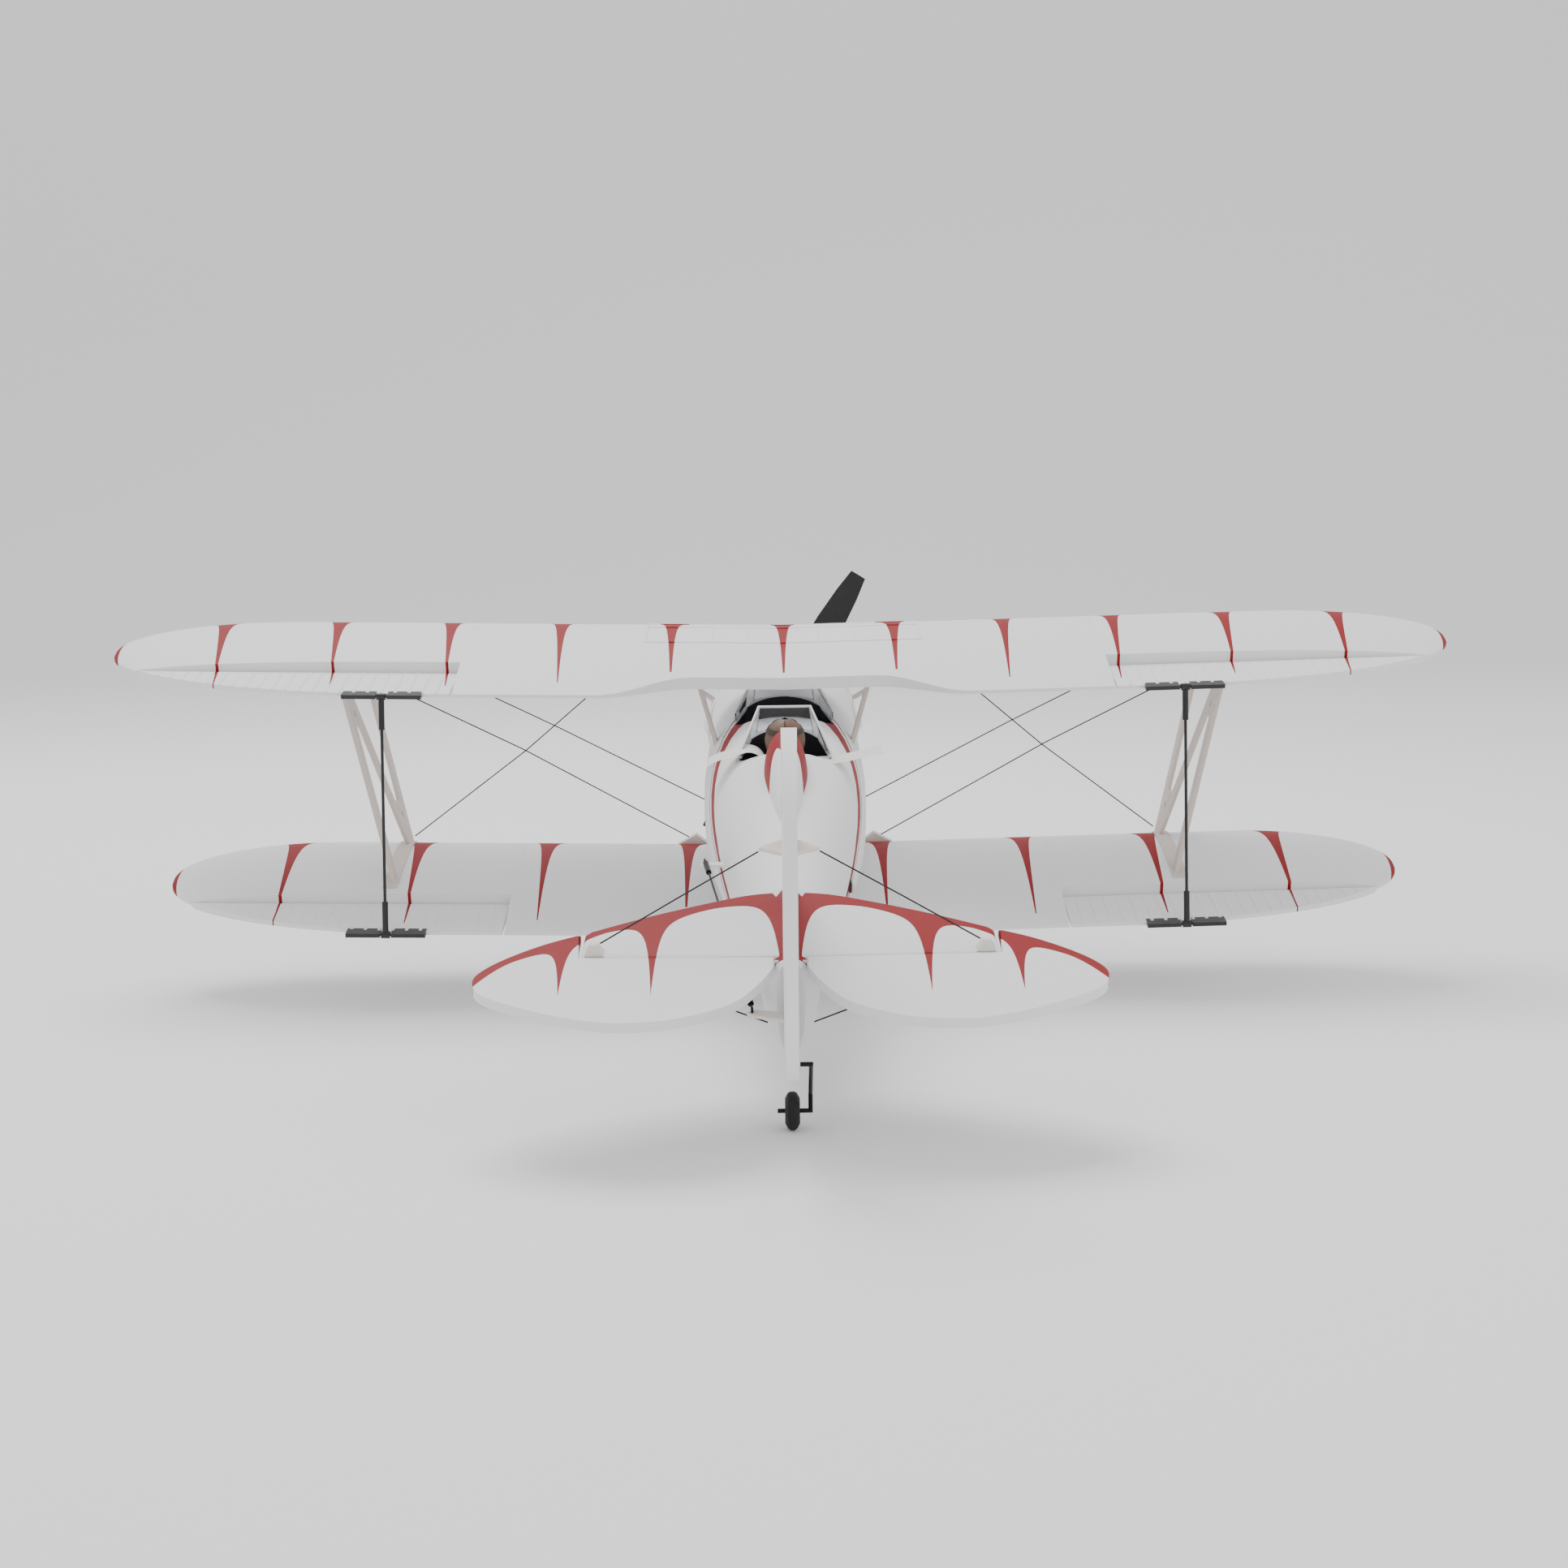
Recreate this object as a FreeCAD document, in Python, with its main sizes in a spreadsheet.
"""Radio-controlled foam biplane with a tail wheel, standing on its three wheels.

Sizes are in millimetres.  The aeroplane is drawn level, with X to the right wing tip, Y to the nose
and Z up from the thrust line.  Stations are distances behind the propeller nut.  One placement,
STANCE, then pitches every piece nose-up on to its wheels and drops it on to the ground.
"""
import FreeCAD, Part
import math
import os

import Sketcher
from FreeCAD import Rotation, Vector

DOC = FreeCAD.newDocument("foam_biplane")
SHEET = DOC.addObject("Spreadsheet::Sheet", "sizes")

DRIVING = {
    # whole aeroplane
    "length": 438, "ground_angle": 12.4, "dihedral": 1.15, "incidence": 2.0,
    # wings
    "upper_half_span": 275, "upper_chord": 88, "upper_nose": 93, "upper_height": 58,
    "lower_half_span": 253, "lower_chord": 86, "lower_nose": 122.5, "lower_height": -31,
    "foil_depth": 0.115, "trailing_edge": 1.3, "tip_extreme": 0.42,
    # ailerons
    "aileron_chord": 27, "aileron_depth": 2.6, "aileron_gap": 0.45,
    "upper_aileron_root": 130, "lower_aileron_root": 111, "rib_pitch": 5.4, "rib_height": 0.45,
    "link_span": 157, "pin_radius": 0.5, "pin_half_width": 15.5, "eye_radius": 0.56,
    # servo linkages
    "wire_radius": 0.4, "hole_radius": 0.46, "aileron_arm": 8, "servo_station": 150,
    "elevator_arm": 12, "rudder_arm": 12, "horn_depth": 1.0,
    # fuselage and nose
    "cowl_radius": 34.5, "cowl_front": 15, "cowl_back": 52,
    "prop_radius": 73, "prop_angle": 30, "prop_station": 6, "motor_radius": 9,
    # tail
    "elevator_hinge": 374, "tail_height": 27.7, "tail_depth": 3.2, "rudder_hinge": 381.5, "rudder_depth": 4.6, "fin_top": 108,
    # undercarriage
    "tail_wheel_radius": 5.9, "tail_wheel_station": 385, "tail_axle_height": -17.4,
    "main_wheel_radius": 13, "main_wheel_width": 8, "main_wheel_station": 112, "half_track": 58,
}
for row, (alias, number) in enumerate(DRIVING.items(), start=1):
    SHEET.set(f"A{row}", alias)
    SHEET.set(f"B{row}", str(number))
    SHEET.setAlias(f"B{row}", alias)
DOC.recompute()


def size(alias):
    """The number held by the sheet's cell of that name."""
    return float(SHEET.get(alias))


# ---------------------------------------------------------------- frame and stance
MID_STATION = size("length") / 2
ALPHA = math.radians(size("ground_angle"))


def at(x, station, z):
    """A point of the level aeroplane from its span, station and height."""
    return Vector(x, MID_STATION - station, z)


def ground_height(station):
    """Height of the ground line under a station, which passes under the tail wheel."""
    contact = size("tail_axle_height") - size("tail_wheel_radius") / math.cos(ALPHA)
    return contact - (size("tail_wheel_station") - station) * math.tan(ALPHA)


MAIN_AXLE_Z = ground_height(size("main_wheel_station")) + size("main_wheel_radius") / math.cos(ALPHA)


def stance():
    """Nose-up placement that puts the wheels on Z = 0 and centres the length on Y = 0."""
    turn = Rotation(Vector(1, 0, 0), math.degrees(ALPHA))
    low = turn.multVec(at(0, size("tail_wheel_station"), size("tail_axle_height"))).z
    blade_drop = size("prop_radius") * math.cos(math.radians(size("prop_angle")))
    nose = turn.multVec(at(0, size("prop_station"), -blade_drop)).y + 0.35
    tail = turn.multVec(at(0, size("length"), size("fin_top") - 50)).y - 0.06
    return FreeCAD.Placement(Vector(0, -(nose + tail) / 2, size("tail_wheel_radius") - low), turn)


STANCE = stance()
PIECES = []


def keep(piece, label):
    """Labels a finished piece and stands it in its place on the ground."""
    piece.Label = label
    piece.Placement = STANCE.multiply(piece.Placement)
    PIECES.append(piece)
    return piece


def keep_shape(label, *solids):
    """A piece whose form is built by Part's own functions, from one or more solids."""
    piece = DOC.addObject("Part::Feature", label)
    piece.Shape = solids[0] if len(solids) == 1 else Part.makeCompound(list(solids))
    return keep(piece, label)


# ---------------------------------------------------------------- general shape makers
def mirrored(shape):
    """The same shape on the other side of the centre line."""
    return shape.mirror(Vector(0, 0, 0), Vector(1, 0, 0))


def slab(x_low, x_high, front, back, z_low, z_high):
    """A box between two spans, two stations and two heights."""
    return Part.makeBox(x_high - x_low, back - front, z_high - z_low, at(x_low, back, z_low))


def rod(start, end, radius):
    """A straight round bar between two points."""
    axis = end.sub(start)
    return Part.makeCylinder(radius, axis.Length, start, axis)


def spline(points, closed=False):
    """An interpolated curve as an edge."""
    curve = Part.BSplineCurve()
    curve.interpolate(Points=points, PeriodicFlag=closed)
    return curve.toShape()


def bent_wire(points, radius):
    """A round wire of straight runs with mitred corners."""
    ring = Part.Wire(Part.makeCircle(radius, points[0], points[1] - points[0]))
    return Part.makePolygon(points).makePipeShell([ring], True, True, 1)


def tapered_body(rings):
    """A solid through closed rings of the same number of corners, straight between them."""
    loft = Part.makeLoft([Part.makePolygon(ring + [ring[0]]) for ring in rings], True, True)
    if loft.Volume < 0:
        loft.reverse()
    return loft


def oval_ring(x, station, z, half_width, half_height, corners=12):
    """The corners of an oval ring that faces the nose."""
    turns = [2 * math.pi * k / corners for k in range(corners)]
    return [at(x + half_width * math.sin(t), station, z + half_height * math.cos(t)) for t in turns]


def plate(points, thickness_vector):
    """A flat polygon given a thickness."""
    return Part.Face(Part.makePolygon(points + [points[0]])).extrude(thickness_vector)


def turned_body(label, outline, centre, axis):
    """A body of revolution whose every corner is a pair of sheet expressions, along and out."""
    body = DOC.addObject("PartDesign::Body", label)
    sketch = body.newObject("Sketcher::SketchObject", label + "_section")
    plane = next(f for f in body.Origin.OriginFeatures if f.Role == "XZ_Plane")
    sketch.AttachmentSupport = [(plane, "")]
    sketch.MapMode = "FlatFace"
    probe = DOC.addObject("App::FeaturePython", label + "_probe")
    corners = []
    for number, (along, out) in enumerate(outline):
        for kind, text in (("along", along), ("out", out)):
            name = f"{kind}{number}"
            probe.addProperty("App::PropertyFloat", name)
            probe.setExpression(name, text)
    probe.recompute()
    for number in range(len(outline)):
        corners.append(Vector(getattr(probe, f"out{number}"), getattr(probe, f"along{number}"), 0))
    DOC.removeObject(probe.Name)
    count = len(corners)
    for number, corner in enumerate(corners):
        sketch.addGeometry(Part.LineSegment(corner, corners[(number + 1) % count]), False)
    for number in range(count):
        sketch.addConstraint(Sketcher.Constraint("Coincident", number, 2, (number + 1) % count, 1))
    for number, (along, out) in enumerate(outline):
        for kind, text, value in (("DistanceX", out, corners[number].x),
                                  ("DistanceY", along, corners[number].y)):
            index = sketch.addConstraint(Sketcher.Constraint(kind, -1, 1, number, 1, value))
            sketch.setExpression(f"Constraints[{index}]", text)
    turn = body.newObject("PartDesign::Revolution", label + "_turn")
    turn.Profile = sketch
    turn.ReferenceAxis = (sketch, ["V_Axis"])
    turn.Angle = 360
    DOC.recompute()
    body.Placement = FreeCAD.Placement(centre, Rotation(Vector(0, 0, 1), axis))
    return keep(body, label)


# ---------------------------------------------------------------- wings
class Wing:
    """One flat-bottomed wing with elliptical tips, drawn level for its right panel."""

    def __init__(self, name):
        self.half_span = size(name + "_half_span")
        self.chord = size(name + "_chord")
        self.nose = size(name + "_nose")
        self.height = size(name + "_height")
        self.aileron_root = size(name + "_aileron_root")
        self.tail = self.nose + self.chord
        self.hinge = self.tail - size("aileron_chord")
        self.tip_station = self.nose + size("tip_extreme") * self.chord
        self.front_curve = 0.25 * self.half_span
        self.back_curve = 0.45 * self.half_span

    def edge(self, x, straight, length):
        """Station of the leading or trailing edge, which closes as a quarter ellipse."""
        run = max(0.0, x - (self.half_span - length)) / length
        share = math.sqrt(max(0.0, 1 - run * run))
        return self.tip_station + (straight - self.tip_station) * share

    def chord_line(self, station):
        """Height of the chord line at a station, allowing for the incidence."""
        return self.height - (station - self.nose) * math.tan(math.radians(size("incidence")))

    def surface(self, x, share, upper):
        """A point of the skin at a span and a share of the chord there."""
        front = self.edge(x, self.nose, self.front_curve)
        back = self.edge(x, self.tail, self.back_curve)
        local = max(back - front, 0.5)
        depth = size("foil_depth") * local ** 0.75 * self.chord ** 0.25
        camber = (0.2969 * math.sqrt(share) - 0.126 * share - 0.3516 * share ** 2
                  + 0.2843 * share ** 3 - 0.1036 * share ** 4) * 10
        station = front + share * local
        edge_depth = size("trailing_edge") / 2 * min(1.0, local / 20)
        rise = (0.76 if upper else -0.24) * depth * camber + (1 if upper else -1) * edge_depth * share
        return at(x, station, self.chord_line(station) + rise)

    def section(self, x):
        """The closed aerofoil wire at a span."""
        shares = (0, 0.012, 0.045, 0.1, 0.19, 0.32, 0.5, 0.7, 1)
        top = [self.surface(x, share, True) for share in reversed(shares)]
        bottom = [self.surface(x, share, False) for share in shares[1:]]
        return Part.makePolygon(top + bottom + [top[0]])

    def tilt(self, shape):
        """Gives a level right-hand shape its dihedral."""
        shape.rotate(at(0, self.nose, self.height), Vector(0, -1, 0), size("dihedral"))
        return shape

    def panel(self):
        """The right-hand half of the wing, out to the rounded tip."""
        straight = self.half_span - self.back_curve
        angles = (22, 38, 52, 64, 74, 82, 87)
        spans = [-4, straight] + [straight + self.back_curve * math.sin(math.radians(a)) for a in angles]
        loft = Part.makeLoft([self.section(x) for x in spans], True, True)
        if loft.Volume < 0:
            loft.reverse()
        root = slab(0, self.half_span + 5, self.nose - 20, self.tail + 20, self.height - 40, self.height + 40)
        return self.tilt(loft).common(root)

    def hinge_point(self, x):
        """The aileron's hinge axis, level, near the wing's lower skin."""
        low = self.chord_line(self.hinge) - 0.24 * size("foil_depth") * self.chord * 0.52
        return at(x, self.hinge + size("aileron_gap") + size("aileron_depth") / 2,
                  low - 0.4 + size("aileron_depth") / 2)

    def outline_beyond_hinge(self, root, inset):
        """The planform behind the hinge line, outboard of a root span, as a tall prism."""
        back_points = []
        straight = self.half_span - self.back_curve
        reach = self.tip_station + 1
        for angle in range(0, 90, 9):
            x = straight + self.back_curve * math.sin(math.radians(angle))
            station = self.edge(x, self.tail, self.back_curve)
            if station > reach:
                back_points.append(at(x, station, self.height - 30))
        front = self.hinge - 5
        corner = at(root + inset, front, self.height - 30)
        tail_corner = at(root + inset, self.tail, self.height - 30)
        curve = spline(back_points)
        first, last = back_points[0], back_points[-1]
        closing = [Part.LineSegment(last, at(last.x, front, last.z)).toShape(),
                   Part.LineSegment(at(last.x, front, last.z), corner).toShape(),
                   Part.LineSegment(corner, tail_corner).toShape(),
                   Part.LineSegment(tail_corner, first).toShape()]
        wire = Part.Wire([curve] + closing)
        return Part.Face(wire).extrude(Vector(0, 0, 60))

    def aileron(self):
        """The right-hand aileron: a thin plate with a round nose, a tapered back and raised ribs."""
        axis = self.hinge_point(0)
        radius = size("aileron_depth") / 2
        back = at(0, self.tail, self.chord_line(self.tail))
        thin = size("trailing_edge") / 2
        nose_top, nose_low = axis + Vector(0, 0, radius), axis - Vector(0, 0, radius)
        nose_front = axis + Vector(0, radius, 0)
        edges = [Part.Arc(nose_top, nose_front, nose_low).toShape(),
                 Part.LineSegment(nose_low, back - Vector(0, 0, thin)).toShape(),
                 Part.LineSegment(back - Vector(0, 0, thin), back + Vector(0, 0, thin)).toShape(),
                 Part.LineSegment(back + Vector(0, 0, thin), nose_top).toShape()]
        blade = Part.Face(Part.Wire(edges)).extrude(Vector(self.half_span, 0, 0))
        rise, pitch = size("rib_height"), size("rib_pitch")
        ribs, x = [], self.aileron_root + 1.1 * pitch
        front, rear = axis.y - radius * 0.6, back.y + 0.8
        slope = (back.z + thin - nose_top.z) / (back.y - nose_top.y)
        while x < self.half_span - 10:
            ridge = []
            for y in (front, rear):
                top = nose_top.z + slope * (y - nose_top.y)
                ridge.append(Part.makePolygon([Vector(x - 1.1, y, top - 0.3), Vector(x + 1.1, y, top - 0.3),
                                               Vector(x, y, top + rise), Vector(x - 1.1, y, top - 0.3)]))
            ribs.append(Part.makeLoft(ridge, True, True))
            x += pitch
        blade = blade.multiFuse(ribs)
        blade = blade.common(self.outline_beyond_hinge(self.aileron_root, size("aileron_gap") + 0.4))
        return self.tilt(blade)

    def aileron_bay(self):
        """What is cut out of the right panel to let the aileron in."""
        prism = self.outline_beyond_hinge(self.aileron_root, 0)
        far = slab(0, self.half_span + 5, self.hinge, self.tail + 10, self.height - 40, self.height + 40)
        inner = slab(self.aileron_root, self.half_span + 5, self.hinge - 6, self.tail + 10,
                     self.height - 40, self.height + 40)
        return self.tilt(prism.fuse(slab(self.aileron_root, self.half_span + 5, self.hinge,
                                         self.tail + 10, self.height - 30, self.height + 30)).common(far)
                         .common(inner))


UPPER, LOWER = Wing("upper"), Wing("lower")


def tilted(wing, point):
    """A level point moved with the wing's dihedral."""
    return wing.tilt(Part.Vertex(point)).Point


def centre_cutout():
    """The cut in the upper wing's trailing edge over the cockpits."""
    flat, full, start = 37, 73, UPPER.tail + 1
    deep, z = 166, UPPER.height - 30
    side = [at(-full, start, z), at(-flat - 22, start - 4.5, z), at(-flat - 10, deep + 4, z), at(-flat, deep, z)]
    left, right = spline(side), spline([Vector(-p.x, p.y, p.z) for p in side])
    middle = Part.LineSegment(side[-1], at(flat, deep, z)).toShape()
    back = Part.makePolygon([at(-full, start, z), at(-full, start + 20, z), at(full, start + 20, z), at(full, start, z)])
    wire = Part.Wire(Part.__sortEdges__([left, middle, right] + back.Edges))
    return Part.Face(wire).extrude(Vector(0, 0, 60))


def raised_panel(wing_solid):
    """Raised mouldings on the upper wing's centre section: a long frame and its cross ribs."""
    lifted = wing_solid.copy()
    lifted.translate(Vector(0, 0, 0.35))
    z_low, z_high = UPPER.height, UPPER.height + 20
    bars = [slab(-57.5, 57.5, station - 0.5, station + 0.5, z_low, z_high) for station in (99, 111, 132)]
    for x in (-57, -29.5, -14.8, 14.8, 29.5, 57):
        bars.append(slab(x - 0.5, x + 0.5, 99, 132, z_low, z_high))
    return bars[0].multiFuse(bars[1:]).common(lifted)


right_upper = UPPER.panel()
upper_solid = right_upper.fuse(mirrored(right_upper)).removeSplitter()
upper_bay = UPPER.aileron_bay()
upper_solid = upper_solid.cut(Part.makeCompound([upper_bay, mirrored(upper_bay)])).cut(centre_cutout())
upper_solid = upper_solid.fuse(raised_panel(upper_solid))

right_lower = LOWER.panel()
lower_solid = right_lower.fuse(mirrored(right_lower)).removeSplitter()
lower_bay = LOWER.aileron_bay()
lower_solid = lower_solid.cut(Part.makeCompound([lower_bay, mirrored(lower_bay)]))

upper_aileron, lower_aileron = UPPER.aileron(), LOWER.aileron()

# ---------------------------------------------------------------- fuselage
BODY_SECTIONS = [
    # station, half-width, top, bottom, height of the widest point
    (52, 33, 34, -33, 0), (90, 33, 37, -33, 1), (128, 33, 40.5, -33, 3), (160, 33, 42, -33, 5),
    (200, 31, 43, -30, 6), (235, 26.5, 41, -24, 8), (280, 19, 36, -16, 11), (330, 12.5, 29.3, -9, 16),
    (372, 8.5, 29.3, -2.5, 20), (378.4, 4.5, 29.3, -1.5, 20),
]


def body_section(station, half_width, top, bottom, middle, wall=0.0):
    """The right half of one fuselage frame, closed along the centre plane."""
    points = []
    for step in range(11):
        angle = math.pi * step / 10
        height = (top - wall - middle) if angle <= math.pi / 2 else (middle - bottom - wall)
        out = (half_width - wall) * abs(math.sin(angle)) ** 0.86
        up = height * abs(math.cos(angle)) ** 0.86 * (1 if angle <= math.pi / 2 else -1)
        points.append(at(out, station, middle + up))
    points[0].x = points[-1].x = 0
    return Part.makePolygon(points + [points[0]])


def body_half(sections, wall=0.0):
    """The right half of the fuselage, or of its hollow when a wall is given."""
    loft = Part.makeLoft([body_section(*row, wall) for row in sections], True, True)
    if loft.Volume < 0:
        loft.reverse()
    return loft


def oval_well(centre_station, half_width, half_length, floor):
    """A straight-sided oval hole in the top of the fuselage."""
    ring = Part.Ellipse(at(0, centre_station, floor), max(half_width, half_length),
                        min(half_width, half_length)).toShape()
    if half_length > half_width:
        ring.rotate(at(0, centre_station, floor), Vector(0, 0, 1), 90)
    return Part.Face(Part.Wire(ring)).extrude(Vector(0, 0, 60))


# ---------------------------------------------------------------- tail outlines
def flat_outline(points, curved, z_low, z_high):
    """A horizontal plate from span and station pairs: a curve through the first, then straight runs."""
    corners = [at(x, station, z_low) for x, station in points]
    curve = spline(corners[:curved])
    rest = corners[curved - 1:] + [corners[0]]
    lines = [Part.LineSegment(a, b).toShape() for a, b in zip(rest, rest[1:])]
    return Part.Face(Part.Wire([curve] + lines)).extrude(Vector(0, 0, z_high - z_low))


def upright_outline(points, curved, depth):
    """An upright plate on the centre plane from station and height pairs."""
    corners = [at(-depth / 2, station, z) for station, z in points]
    curve = spline(corners[:curved])
    rest = corners[curved - 1:] + [corners[0]]
    lines = [Part.LineSegment(a, b).toShape() for a, b in zip(rest, rest[1:])]
    return Part.Face(Part.Wire([curve] + lines)).extrude(Vector(depth, 0, 0))


TAIL_Z, TAIL_DEPTH = size("tail_height"), size("tail_depth")
HINGE_S, NOSE_R = size("elevator_hinge"), size("tail_depth") / 2
STAB_BACK = HINGE_S - NOSE_R - 0.4
stab_right = flat_outline([(0, 320.5), (12, 322.5), (24, 328), (45, 340), (64.7, 353.6), (64.7, STAB_BACK),
                           (0, STAB_BACK)], 5, TAIL_Z - TAIL_DEPTH / 2, TAIL_Z + TAIL_DEPTH / 2)
stab_solid = stab_right.fuse(mirrored(stab_right)).removeSplitter()

balance = flat_outline([(65.9, 354.2), (76, 361), (86, 370.5), (93, 380), (95.5, 388.5), (92, 398), (81, 406.5),
                        (66, 414.5), (51, 418.6), (34, 416.5), (18, 407), (9.5, 392.6), (5, 379.5),
                        (5, HINGE_S), (65.9, HINGE_S)], 13, TAIL_Z - NOSE_R, TAIL_Z + NOSE_R)
nose = Part.makeCylinder(NOSE_R, 60.9, at(5, HINGE_S, TAIL_Z), Vector(1, 0, 0))
elevator_right = balance.fuse(nose).removeSplitter()

RUDDER_S, RUDDER_R = size("rudder_hinge"), size("rudder_depth") / 2
FIN_TOP = size("fin_top")
FIN_BACK = RUDDER_S - RUDDER_R - 0.5
RUDDER_FOOT = 2
rudder_blade = upright_outline([(RUDDER_S, FIN_TOP - 2.5), (393, FIN_TOP), (408, FIN_TOP - 3), (423, FIN_TOP - 13),
                                (433, FIN_TOP - 30), (size("length"), FIN_TOP - 55), (435, 34), (426, 16),
                                (411, 5.5), (396, RUDDER_FOOT), (RUDDER_S, RUDDER_FOOT)], 10, 2 * RUDDER_R)
rudder_nose = rod(at(0, RUDDER_S, RUDDER_FOOT), at(0, RUDDER_S, FIN_TOP - 2.5), RUDDER_R)
rudder_solid = rudder_blade.fuse(rudder_nose).removeSplitter()
fin_solid = upright_outline([(318, TAIL_Z + NOSE_R), (331, 46), (349, 76), (363, 95), (FIN_BACK, FIN_TOP - 3.2),
                             (FIN_BACK, TAIL_Z + NOSE_R)], 5, 2 * RUDDER_R)

# ---------------------------------------------------------------- fuselage solids
HEADREST_ROWS = ((217, 7.9, 15.2), (226, 8.2, 15.8), (236, 7.9, 15.2), (250, 6.2, 12), (266, 3.6, 7), (276, 1, 2))
headrest_block = tapered_body([oval_ring(0, station, 38, wide, high) for station, wide, high in HEADREST_ROWS])

outer_half = body_half(BODY_SECTIONS)
hollow = body_half([row for row in BODY_SECTIONS if row[0] <= 235], 4.2).common(slab(0, 60, 54, 226, -60, 9))
front_well = oval_well(146, 19.5, 17, 14)
rear_well = oval_well(198, 17.5, 16.5, 14)
wing_saddle = slab(-60, 60, LOWER.nose - 1, LOWER.tail + 1, -60, LOWER.height + 1)
half = outer_half.cut(hollow).cut(front_well).cut(rear_well).cut(wing_saddle).cut(lower_solid).cut(stab_solid)
half = half.cut(slab(4.4, 40, 371.5, 390, 22, 60))
half = half.cut(slab(-1, 40, 300, 400, TAIL_Z + NOSE_R, 60))
half = half.cut(slab(-1, 6, HINGE_S - 1.3, 390, TAIL_Z - 1.3, 60))


# ---------------------------------------------------------------- linkages
WIRE_R, HOLE_R = size("wire_radius"), size("hole_radius")


def swept_lever(axis_point, pin_point, side, depth, hub_radius, bore):
    """A flat servo arm from a hub to a pin hole, lying in the plane normal to side."""
    hub = Part.makeCylinder(hub_radius, depth, axis_point, side)
    eye = Part.makeCylinder(1.5, depth, pin_point, side)
    across = pin_point.sub(axis_point).cross(side).normalize()
    near, far = across * (hub_radius * 0.8), across * 1.2
    web = plate([axis_point + near, pin_point + far, pin_point - far, axis_point - near], side * depth)
    lever = hub.multiFuse([eye, web])
    return lever.cut(rod(pin_point - side * 2, pin_point + side * (depth + 2), bore))


def cranked_rod(first, last, side, depth, reach, sleeves=True):
    """A wire whose two ends turn through the holes of two levers, with plastic end sleeves."""
    start, end = first - side * 0.7, last - side * 0.7
    wire = bent_wire([start, first + side * (depth + reach), last + side * (depth + reach), end], WIRE_R)
    if not sleeves:
        return wire
    along = last.sub(first).normalize()
    offset = side * (depth + reach)
    tubes = [rod(first + offset + along * 3, first + offset + along * 13, 1.0),
             rod(last + offset - along * 13, last + offset - along * 3, 1.0)]
    return wire.multiFuse(tubes)


def servo(corner_low, corner_high, axis_point, side, boss_length):
    """A servo: its case, two fixing lugs and the raised boss its arm turns on."""
    lengths = corner_high - corner_low
    case = Part.makeBox(lengths.x, lengths.y, lengths.z, corner_low)
    case = case.makeChamfer(0.5, case.Edges)
    boss = Part.makeCylinder(2.4, boss_length, axis_point - side * boss_length, side)
    return case.fuse(boss)


# ailerons: pin bars for the link rods, and horns for the pushrods
AILERON_ARM, LEVER = size("aileron_arm"), size("horn_depth")
LINK_X, PIN_R, EYE_R = size("link_span"), size("pin_radius"), size("eye_radius")
BAR_HALF, BAR_BACK = size("pin_half_width"), 1.7


def pin_point(wing):
    """Where an aileron's link pin crosses the link rod, level."""
    return at(LINK_X, wing.tail + BAR_BACK, wing.chord_line(wing.tail))


def pin_bar(wing):
    """The bar along an aileron's trailing edge, narrowed to a round pin at the link rod."""
    middle = pin_point(wing)
    bars = []
    for low, high in ((-BAR_HALF, -2.2), (2.2, BAR_HALF)):
        bars.append(slab(LINK_X + low, LINK_X + high, wing.tail - 3, wing.tail + BAR_BACK + 1.0,
                         middle.z - 0.8, middle.z + 0.8))
    pin = rod(middle - Vector(3, 0, 0), middle + Vector(3, 0, 0), PIN_R)
    return wing.tilt(pin.multiFuse(bars))


HORN_X = 153.5
lower_axis = LOWER.hinge_point(HORN_X)
horn_pin = lower_axis - Vector(0, 0, AILERON_ARM)
SERVO_S = size("servo_station")
SERVO_AXIS = at(HORN_X, SERVO_S, -31.2)
servo_pin = SERVO_AXIS - Vector(0, 0, AILERON_ARM)
X_SIDE = Vector(1, 0, 0)
horn_root_z = lower_axis.z - 0.9
horn = plate([horn_pin + Vector(0, 1.5, -0.6), horn_pin + Vector(0, -1.5, -0.6),
              Vector(HORN_X, lower_axis.y - 9, horn_root_z), Vector(HORN_X, lower_axis.y, horn_root_z)],
             X_SIDE * LEVER)
horn = horn.cut(rod(horn_pin - X_SIDE, horn_pin + X_SIDE * 2, HOLE_R))
horn = LOWER.tilt(horn).cut(lower_aileron)
upper_bar = pin_bar(UPPER).cut(upper_aileron)
lower_bar = pin_bar(LOWER).cut(lower_aileron)

aileron_servo = LOWER.tilt(servo(at(139, SERVO_S + 7, -34.0), at(150.5, SERVO_S - 9, -27.8),
                                 SERVO_AXIS - X_SIDE * 0.2, X_SIDE, 4))
servo_recess = LOWER.tilt(slab(138.8, 158.5, SERVO_S - 9.3, SERVO_S + 7.3, -60, -27.6))
lower_solid = lower_solid.cut(servo_recess).cut(mirrored(servo_recess))
aileron_servo_arm = LOWER.tilt(swept_lever(SERVO_AXIS, servo_pin, X_SIDE, LEVER, 2.2, HOLE_R))
aileron_rod = LOWER.tilt(cranked_rod(servo_pin, horn_pin, X_SIDE, LEVER, 1.8))

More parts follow.
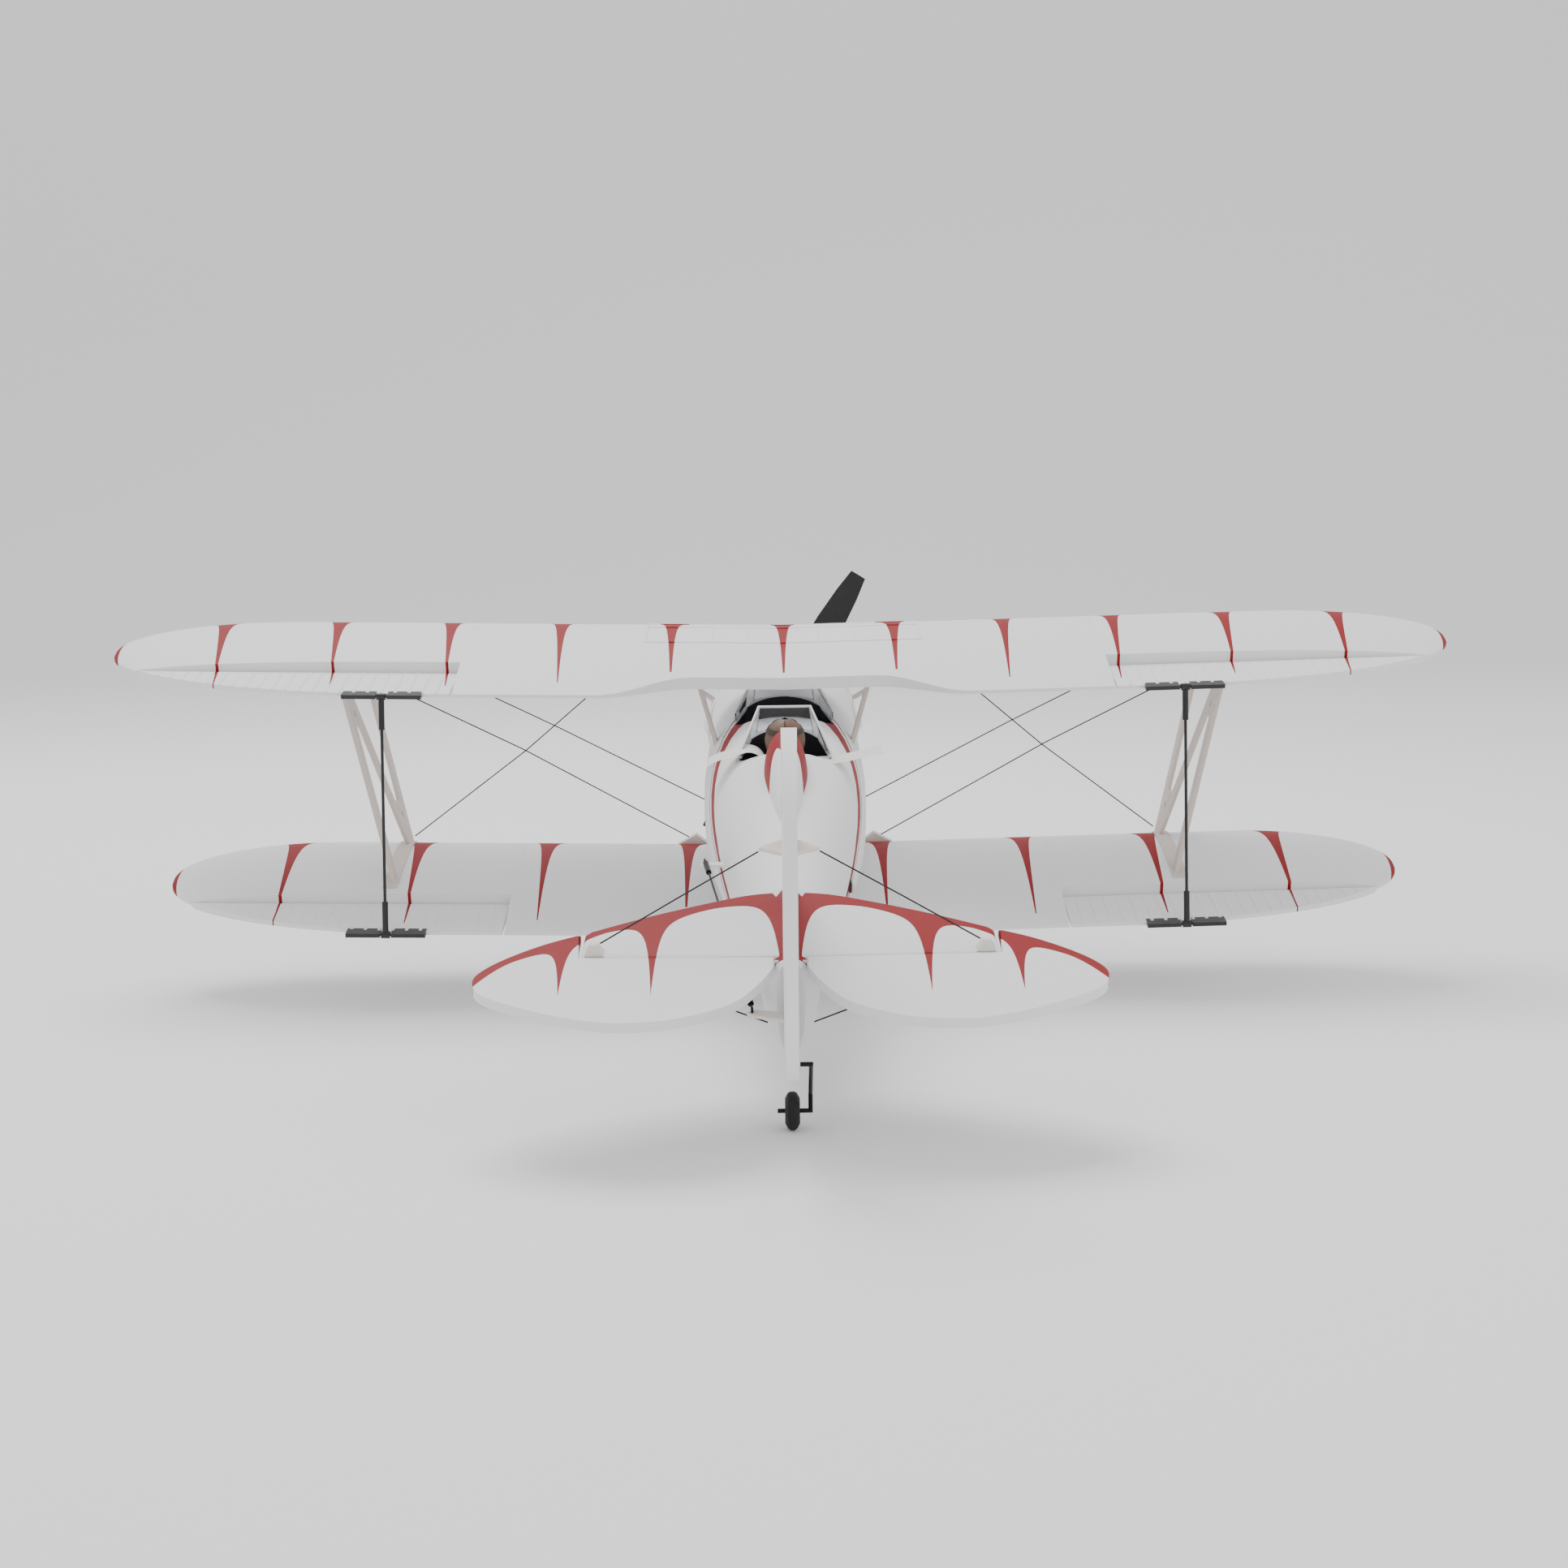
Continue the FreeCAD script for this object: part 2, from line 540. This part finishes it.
upper_pin, lower_pin = tilted(UPPER, pin_point(UPPER)), tilted(LOWER, pin_point(LOWER))
hinge_line = Vector(math.cos(math.radians(size("dihedral"))), 0, math.sin(math.radians(size("dihedral"))))
link_run = upper_pin.sub(lower_pin).normalize()
link_parts = [rod(lower_pin + link_run * 1, upper_pin - link_run * 1, 0.6),
              rod(lower_pin + link_run * 1, lower_pin + link_run * 13, 1.15),
              rod(upper_pin - link_run * 13, upper_pin - link_run * 1, 1.15)]
for pin in (upper_pin, lower_pin):
    link_parts.append(rod(pin - hinge_line * 1.7, pin + hinge_line * 1.7, 1.35))
aileron_link = link_parts[0].multiFuse(link_parts[1:])
for pin in (upper_pin, lower_pin):
    aileron_link = aileron_link.cut(rod(pin - hinge_line * 4, pin + hinge_line * 4, EYE_R))

# elevator: torque wire on the hinge line, horn below the right half, servo in the right flank
ELEV_ARM, ELEV_X = size("elevator_arm"), 23.5
elevator_axis = at(ELEV_X, HINGE_S, TAIL_Z)
elevator_pin = elevator_axis - Vector(0, 0, ELEV_ARM)
torque_wire = rod(at(-24, HINGE_S, TAIL_Z), at(24, HINGE_S, TAIL_Z), 0.7)
elevator_right = elevator_right.cut(rod(at(0, HINGE_S, TAIL_Z), at(24, HINGE_S, TAIL_Z), 0.7))
elevator_horn = plate([at(ELEV_X, HINGE_S + 1, TAIL_Z - 1.2), at(ELEV_X, HINGE_S + 10, TAIL_Z - 1.2),
                       at(ELEV_X, HINGE_S + 1.6, TAIL_Z - ELEV_ARM - 1.2),
                       at(ELEV_X, HINGE_S - 1.4, TAIL_Z - ELEV_ARM - 1.2),
                       at(ELEV_X, HINGE_S - 1.4, TAIL_Z - ELEV_ARM + 1.6)], X_SIDE * LEVER)
elevator_horn = elevator_horn.cut(rod(elevator_pin - X_SIDE, elevator_pin + X_SIDE * 2, HOLE_R))
elevator_horn = elevator_horn.cut(elevator_right)
ELEV_SERVO = at(ELEV_X, 258, 6)
elevator_servo_pin = ELEV_SERVO - Vector(0, 0, ELEV_ARM)
elevator_servo = servo(at(10, 266, 1), at(21, 249, 9), ELEV_SERVO - X_SIDE * 0.2, X_SIDE, 4)
elevator_servo_arm = swept_lever(ELEV_SERVO, elevator_servo_pin, X_SIDE, LEVER, 2.4, HOLE_R)
elevator_rod = cranked_rod(elevator_servo_pin, elevator_pin, X_SIDE, LEVER, 1.5)

# rudder: horn on its left, servo lying in the left flank
RUD_ARM, RUD_Z = size("rudder_arm"), 13.5
Z_SIDE = Vector(0, 0, 1)
rudder_axis = at(0, RUDDER_S, RUD_Z)
rudder_pin = rudder_axis - X_SIDE * RUD_ARM
rudder_horn = plate([at(-1.5, RUDDER_S, RUD_Z), at(-1.5, RUDDER_S + 6, RUD_Z), at(-RUD_ARM, RUDDER_S + 1.8, RUD_Z),
                     at(-RUD_ARM - 1.6, RUDDER_S, RUD_Z), at(-RUD_ARM, RUDDER_S - 1.6, RUD_Z),
                     at(-RUD_ARM + 2, RUDDER_S - 1.6, RUD_Z)], Z_SIDE * LEVER)
rudder_horn = rudder_horn.cut(rod(rudder_pin - Z_SIDE, rudder_pin + Z_SIDE * 2, HOLE_R)).cut(rudder_solid)
RUD_SERVO = at(-18, 255, RUD_Z)
rudder_servo_pin = RUD_SERVO - X_SIDE * RUD_ARM
rudder_servo = servo(at(-22, 262, 2.5), at(-12, 246, 11), RUD_SERVO - Z_SIDE * 0.2, Z_SIDE, 4)
rudder_servo_arm = swept_lever(RUD_SERVO, rudder_servo_pin, Z_SIDE, LEVER, 2.4, HOLE_R)
rudder_rod = cranked_rod(rudder_servo_pin, rudder_pin, Z_SIDE, LEVER, 1.5)

half_right = half.cut(slab(9.8, 40, 248.8, 266.2, 0.8, 9.2))
half_left = mirrored(half).cut(slab(-40, -11.8, 245, 265, 2.3, 18.5))

# ---------------------------------------------------------------- struts
def strut_plate(bars, webs, slots, base_x, base_z, lean, depth=1.6):
    """A flat N-shaped strut drawn from the side, then leaned outwards about its feet."""
    solids = []
    for (s0, z0), (s1, z1), width in bars:
        x = base_x - depth / 2
        solids.append(plate([at(x, s0 - width / 2, z0), at(x, s0 + width / 2, z0), at(x, s1 + width / 2, z1),
                             at(x, s1 - width / 2, z1)], X_SIDE * depth))
    for web in webs:
        solids.append(plate([at(base_x - depth / 2, s, z) for s, z in web], X_SIDE * depth))
    frame = solids[0].multiFuse(solids[1:])
    for s, z, radius in slots:
        frame = frame.cut(rod(at(base_x - 2, s, z), at(base_x + 2, s, z), radius))
    frame = frame.removeSplitter()
    frame.rotate(at(base_x, 0, base_z), Vector(0, 1, 0), lean)
    return frame


FOOT_Z, TOP_Z = LOWER.height + 1, UPPER.height + 7
inter = strut_plate([((173.5, FOOT_Z), (149, TOP_Z), 5.5), ((132, FOOT_Z), (104, TOP_Z), 5.5),
                     ((132, FOOT_Z), (149, TOP_Z), 4.5)],
                    [[(129, FOOT_Z), (135, FOOT_Z), (133.5, FOOT_Z + 27), (127, FOOT_Z + 27)],
                     [(146, TOP_Z), (152, TOP_Z), (153.6, TOP_Z - 27), (145, TOP_Z - 27)]],
                    [(130.9, FOOT_Z + 21, 1.4), (149.8, TOP_Z - 22, 1.4)], 160.5, FOOT_Z + 11, 14)
foot_pad = lower_solid.copy()
foot_pad.translate(Vector(0, 0, 0.8))
foot_pad = foot_pad.common(slab(157.5, 163.5, 128, 178, -60, 20))
inter = inter.fuse(foot_pad).cut(lower_solid).cut(upper_solid)
inter = max(inter.removeSplitter().Solids, key=lambda solid: solid.Volume)

cabane = strut_plate([((150, 20), (152, TOP_Z - 4), 4.5), ((114, 20), (101, TOP_Z - 4), 4.5),
                      ((113.5, 35), (151.8, 50), 3.6)], [], [], 29, 31, 14)
cabane = cabane.cut(half_right).cut(upper_solid)
cabane = max(cabane.Solids, key=lambda solid: solid.Volume)

# ---------------------------------------------------------------- nose
def turned(points, centre, axis):
    """A solid of revolution from (along, out) corners."""
    outline = [Vector(out, 0, along) for along, out in points]
    solid = Part.Face(Part.makePolygon(outline + [outline[0]])).revolve(Vector(0, 0, 0), Vector(0, 0, 1), 360)
    solid.Placement = FreeCAD.Placement(centre, Rotation(Vector(0, 0, 1), axis))
    return solid


BACKWARDS = Vector(0, -1, 0)
COWL_R, COWL_S, COWL_LENGTH = size("cowl_radius"), size("cowl_front"), size("cowl_back") - size("cowl_front")
cowl = turned([(0, COWL_R - 10), (1.2, COWL_R - 7), (4, COWL_R - 3.6), (9, COWL_R - 1.1), (15, COWL_R),
               (COWL_LENGTH, COWL_R), (COWL_LENGTH, COWL_R - 1.4), (14, COWL_R - 1.4), (5, COWL_R - 4.8),
               (1.6, COWL_R - 10)], at(0, COWL_S, 0), BACKWARDS)
BUMPS = 10
bumps = []
for number in range(BUMPS):
    angle = 360 / BUMPS * (number + 0.5)
    bump = tapered_body([oval_ring(0, station, COWL_R - 2.2, width, width, 8)
                         for station, width in ((27, 2.4), (31, 4.4), (36, 4.9), (43, 4.2), (47, 2.6))])
    bump.rotate(Vector(0, 0, 0), Vector(0, 1, 0), angle)
    bumps.append(bump)
core = rod(at(0, COWL_S - 1, 0), at(0, 53, 0), COWL_R - 1.4)
cowl = cowl.multiFuse([bump.cut(core) for bump in bumps])

engine = turned([(0, 10.6), (0, 13), (2, 14.5), (12, 14.5), (12, 13.6), (30, 13.6), (30, 12.2), (18, 12.2),
                 (18, 10.6)], at(0, 20, 0), BACKWARDS)
cylinders = []
for number in range(7):
    angle = math.radians(360 / 7 * number)
    ring = oval_ring(0, 27, 0, 3.8, 3.8, 8)
    barrel = Part.Face(Part.makePolygon(ring + [ring[0]])).extrude(Vector(0, -17, 0))
    for fin in range(3):
        ring = oval_ring(0, 32 + 3.4 * fin, 0, 4.9, 4.9, 8)
        barrel = barrel.fuse(Part.Face(Part.makePolygon(ring + [ring[0]])).extrude(Vector(0, -1.2, 0)))
    barrel.rotate(at(0, 27, 0), Vector(1, 0, 0), -90)
    barrel.translate(Vector(0, 0, 13))
    barrel.rotate(Vector(0, 0, 0), Vector(0, 1, 0), math.degrees(angle))
    cylinders.append(barrel)
engine = engine.multiFuse(cylinders)

firewall = rod(at(0, 50, 0), at(0, 52, 0), COWL_R - 1.45)
MOTOR_R = size("motor_radius")
motor = turned([(0, 1.56), (0, MOTOR_R - 1.5), (1.5, MOTOR_R), (14, MOTOR_R), (14, 11.5), (24, 11.5),
                (24, 1.56)], at(0, 26, 0), BACKWARDS)
prop_shaft = turned([(0, 0), (0, 1.5), (7, 1.5), (7, 4.6), (10.5, 4.6), (11.5, 1.5), (31, 1.5), (31, 0)],
                    at(0, 2.5, 0), BACKWARDS)
prop_nut = tapered_body([oval_ring(0, 2.5, 0, 3, 3, 6), oval_ring(0, 0.9, 0, 3, 3, 6), oval_ring(0, 0, 0, 1.9, 1.9, 6)])


def blade_section(radius, chord, depth):
    """One section of the propeller's upward blade."""
    pitch = math.atan2(88, 2 * math.pi * radius)
    points = []
    for share, rise in ((-0.5, 0), (-0.3, 0.8), (0.05, 0.95), (0.5, 0.06), (0.1, -0.15), (-0.3, -0.15)):
        across, up = share * chord, rise * depth
        points.append(at(across * math.cos(pitch) + up * math.sin(pitch),
                         6 + across * math.sin(pitch) - up * math.cos(pitch), radius))
    return points


blade_rows = [(3.5, 6.5, 2.2), (9, 8, 2.1), (18, 12, 1.7), (30, 14.5, 1.3), (46, 13.5, 1.0), (62, 10.8, 0.8),
              (size("prop_radius"), 7.6, 0.5)]
blade = tapered_body([blade_section(*row) for row in blade_rows])
other = blade.copy()
other.rotate(at(0, 0, 0), Vector(0, 1, 0), 180)
hub = rod(at(0, 9.5, 0), at(0, 2.5, 0), 5)
propeller = hub.multiFuse([blade, other]).cut(rod(at(0, 20, 0), at(0, -5, 0), 1.5))
propeller.rotate(Vector(0, 0, 0), Vector(0, 1, 0), size("prop_angle"))

# ---------------------------------------------------------------- undercarriage
MAIN_S, TRACK = size("main_wheel_station"), size("half_track")
axle_middle = at(TRACK, MAIN_S, MAIN_AXLE_Z)
leg_top, leg_low = at(15, 109, -30), at(51, MAIN_S, MAIN_AXLE_Z)
leg_lean = leg_low.sub(leg_top)
leg = plate([leg_top + Vector(0, 12, 0), leg_top + Vector(0, -11.5, 0), leg_low + Vector(0, -4.5, 0),
             leg_low + Vector(0, 4.5, 0)], Vector(leg_lean.z, 0, -leg_lean.x).normalize() * 2.6)
leg = leg.fuse(rod(leg_low - X_SIDE, at(TRACK + 6.6, MAIN_S, MAIN_AXLE_Z), 1.0)).cut(half_right).cut(lower_solid)
wheel_slot = rod(axle_middle - X_SIDE * 4.8, axle_middle + X_SIDE * 4.8, size("main_wheel_radius") + 1.6)
PANT_ROWS = ((-20, 2), (-16, 5.1), (-7, 7.7), (3, 8.2), (14, 7.3), (26, 5), (38, 1.6))
pant = tapered_body([oval_ring(TRACK, MAIN_S + back, MAIN_AXLE_Z + 4.5, wide, 1.64 * wide)
                     for back, wide in PANT_ROWS])
pant = pant.common(slab(0, 100, 50, 200, MAIN_AXLE_Z - 6, 0)).cut(wheel_slot).cut(leg)

TAIL_S, TAIL_R, TAIL_AXLE = size("tail_wheel_station"), size("tail_wheel_radius"), size("tail_axle_height")
tail_wire = bent_wire([at(RUDDER_R + 0.05, 398, RUDDER_FOOT + 3), at(5.6, 398, RUDDER_FOOT + 3),
                       at(5.6, TAIL_S, TAIL_AXLE + 6), at(5.6, TAIL_S, TAIL_AXLE), at(-4.6, TAIL_S, TAIL_AXLE)], 0.7)

# ---------------------------------------------------------------- wires and their brackets
LINE_R = 0.25


def reach(start, end, stops):
    """The far end of the first stretch of a line that lies outside the solids it runs into."""
    run = Part.makeLine(start, end)
    for stop in stops:
        run = run.cut(stop)
    first = min(run.Edges, key=lambda edge: min(v.Point.distanceToPoint(start) for v in edge.Vertexes))
    far = max((vertex.Point for vertex in first.Vertexes), key=lambda point: point.distanceToPoint(start))
    return far + start.sub(far).normalize() * 2.4 * LINE_R


def taut_line(points, stops):
    """A round line through a middle point, run each way until it meets a solid."""
    start, middle, end = [at(*point) for point in points]
    return bent_wire([reach(middle, start, stops), middle, reach(middle, end, stops)], LINE_R)


root_plate = plate([at(32.5, 124.5, -26), at(46, 124.5, -26), at(38, 124.5, -21.5)], Vector(0, -2.6, 0))
root_plate = root_plate.cut(lower_solid).cut(half_right)
ANCHORS = [upper_solid, lower_solid, inter, cabane, root_plate, half_right]
CROSSING_S = 137
right_wires = [taut_line(route, ANCHORS) for route in (
    [(179.6, 147, 62), (108.6, CROSSING_S, 21), (39, 126, -24.2)],
    [(180.2, 107, 64), (97, 108, 21.5), (30, 109, -14.5)],
    [(56, 112, 60), (108, CROSSING_S - 4, 19.4), (157.9, 130.5, -19.5)],
)]

stab_lug = tapered_body([[at(57.5, 366, z), at(63.5, 366, z), at(63.5, 371.4, z), at(57.5, 371.4, z)]
                         if z < 30 else [at(59.5, 368, z), at(61.5, 368, z), at(61.5, 370.4, z), at(59.5, 370.4, z)]
                         for z in (TAIL_Z + NOSE_R, TAIL_Z + NOSE_R + 3.4)])
fin_lug = plate([at(RUDDER_R, 345, 56), at(RUDDER_R, 357, 56), at(9.5, 352, 56)], Vector(0, 0, 1.2))
upper_brace = taut_line([(8.2, 352, 56.6), (34.4, 360.6, 44.2), (60.5, 369.2, 31.6)], [fin_lug, stab_lug])
lower_brace = taut_line([(3, 363, 0.5), (31.5, 366, 13.3), (60, 369, TAIL_Z - NOSE_R + 0.1)], [half_right, stab_solid])

# ---------------------------------------------------------------- cockpits
def level_ring(station, z, half_width, half_length, corners=12):
    """The corners of a level oval ring on the centre line."""
    turns = [2 * math.pi * k / corners for k in range(corners)]
    return [at(half_width * math.sin(t), station - half_length * math.cos(t), z) for t in turns]


PILOT_ROWS = ((200, 14, 10.5, 6.3), (200, 24, 12.5, 7.5), (200, 29, 12.5, 7.5), (200, 33, 8.5, 5.1),
              (200, 35, 4.0, 4.56), (199.5, 38, 4.6, 5.24), (199, 41, 6.5, 7.41), (199, 45, 7.4, 8.44),
              (199.5, 49, 6.0, 6.84), (200, 51.4, 2.5, 2.85))
pilot = tapered_body([level_ring(station, z, wide, long) for station, z, wide, long in PILOT_ROWS])


def windscreen(station, foot_z, foot_r, top_z, top_r, back):
    """A thin conical screen standing in front of a cockpit, open at the back."""
    wall = 0.7
    shell = turned([(0, foot_r), (top_z - foot_z, top_r), (top_z - foot_z, top_r - wall), (0, foot_r - wall)],
                   at(0, station, foot_z), Vector(0, 0, 1))
    shell = shell.common(slab(-40, 40, 60, back, 0, 100))
    shell = shell.cut(outer_half).cut(mirrored(outer_half))
    return max(shell.Solids, key=lambda solid: solid.Volume)


front_screen = windscreen(149, 30, 24.5, 50, 17.5, 135)
rear_screen = windscreen(200, 30, 20.5, 53.5, 14, 192)

# ---------------------------------------------------------------- pieces
keep_shape("fuselage_right", half_right)
keep_shape("fuselage_left", half_left)
keep_shape("headrest", headrest_block.cut(outer_half).cut(mirrored(outer_half)))
keep_shape("upper_wing", upper_solid)
keep_shape("lower_wing", lower_solid)
PAIRS = {
    "aileron_upper": upper_aileron, "aileron_lower": lower_aileron, "elevator": elevator_right,
    "link_bar_upper": upper_bar, "aileron_link": aileron_link, "interplane_strut": inter,
    "cabane_strut": cabane, "aileron_servo": aileron_servo, "aileron_servo_arm": aileron_servo_arm,
    "aileron_pushrod": aileron_rod, "gear_leg": leg, "wheel_pant": pant,
}
for name, shape in PAIRS.items():
    keep_shape(name + "_right", shape)
    keep_shape(name + "_left", mirrored(shape))
keep_shape("aileron_horn_right", horn, lower_bar)
keep_shape("aileron_horn_left", mirrored(horn), mirrored(lower_bar))
keep_shape("rigging_right", *right_wires)
keep_shape("rigging_left", *[mirrored(line) for line in right_wires])
keep_shape("tail_brace_wires", upper_brace, mirrored(upper_brace), lower_brace, mirrored(lower_brace))
keep_shape("wire_brackets", root_plate, mirrored(root_plate), stab_lug, mirrored(stab_lug), fin_lug, mirrored(fin_lug))
keep_shape("elevator_horn", torque_wire, elevator_horn)
SINGLES = {
    "stabiliser": stab_solid, "fin": fin_solid, "rudder": rudder_solid,
    "elevator_servo": elevator_servo, "elevator_servo_arm": elevator_servo_arm,
    "elevator_pushrod": elevator_rod, "rudder_horn": rudder_horn, "rudder_servo": rudder_servo,
    "rudder_servo_arm": rudder_servo_arm, "rudder_pushrod": rudder_rod, "cowl": cowl, "dummy_engine": engine,
    "firewall": firewall, "motor": motor, "prop_shaft": prop_shaft, "prop_nut": prop_nut,
    "propeller": propeller, "tail_wheel_wire": tail_wire, "pilot": pilot,
    "front_windscreen": front_screen, "rear_windscreen": rear_screen,
}
for name, shape in SINGLES.items():
    keep_shape(name, shape)
for label, side in (("main_wheel_right", 1), ("main_wheel_left", -1)):
    turned_body(label, [("-sizes.main_wheel_width / 2", "1.06"),
                        ("-sizes.main_wheel_width / 2", "sizes.main_wheel_radius - 4.5"),
                        ("-sizes.main_wheel_width / 2 + 1", "sizes.main_wheel_radius - 1.6"),
                        ("-sizes.main_wheel_width / 2 + 2.6", "sizes.main_wheel_radius"),
                        ("sizes.main_wheel_width / 2 - 2.6", "sizes.main_wheel_radius"),
                        ("sizes.main_wheel_width / 2 - 1", "sizes.main_wheel_radius - 1.6"),
                        ("sizes.main_wheel_width / 2", "sizes.main_wheel_radius - 4.5"),
                        ("sizes.main_wheel_width / 2", "1.06")],
                at(side * TRACK, MAIN_S, MAIN_AXLE_Z), X_SIDE)
turned_body("tail_wheel", [("-2.3", "0.76"), ("-2.3", "sizes.tail_wheel_radius - 2"),
                           ("-1.4", "sizes.tail_wheel_radius - 0.4"), ("-0.6", "sizes.tail_wheel_radius"),
                           ("0.6", "sizes.tail_wheel_radius"), ("1.4", "sizes.tail_wheel_radius - 0.4"),
                           ("2.3", "sizes.tail_wheel_radius - 2"), ("2.3", "0.76")],
            at(0, TAIL_S, TAIL_AXLE), X_SIDE)

os.makedirs("parts", exist_ok=True)
DOC.recompute()
for thing in DOC.Objects:
    if "Invalid" in thing.State or "Error" in thing.State:
        raise RuntimeError(thing.Name + " did not recompute")
for piece in PIECES:
    if piece.Shape.isNull() or not piece.Shape.isValid():
        raise RuntimeError(piece.Label + " has no sound shape")
for piece in PIECES:
    piece.Shape.exportStep("parts/" + piece.Label + ".step")
print("OK", len(PIECES))
